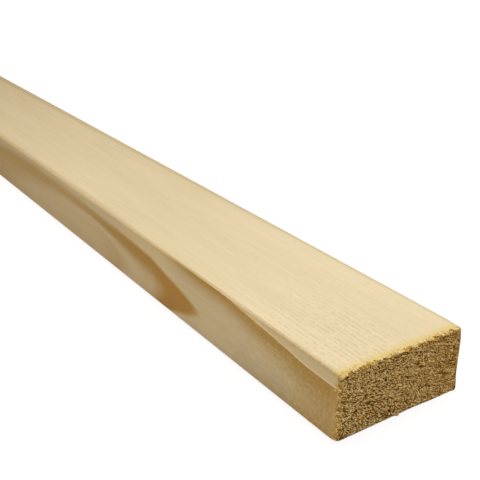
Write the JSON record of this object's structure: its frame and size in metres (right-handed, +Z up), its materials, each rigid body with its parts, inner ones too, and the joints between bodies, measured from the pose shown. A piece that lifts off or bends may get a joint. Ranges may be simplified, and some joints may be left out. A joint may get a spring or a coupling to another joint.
{
  "type": "timber plank",
  "caption": "Straight planed softwood plank of rectangular section with eased long edges and square saw-cut ends, for framing, battens and joinery.",
  "frame": {"origin": "centre of the lower wide face, on the surface that the plank lies on", "axes": "+X along the grain, the plank's length; +Y across the wide face; +Z up, through the thickness"},
  "size_m": [1.8, 0.044, 0.0205],
  "materials": {
    "softwood": "bare planed softwood with rough saw-cut ends"
  },
  "bodies": {
    "root": {"plank": "softwood"}
  },
  "joints": []
}
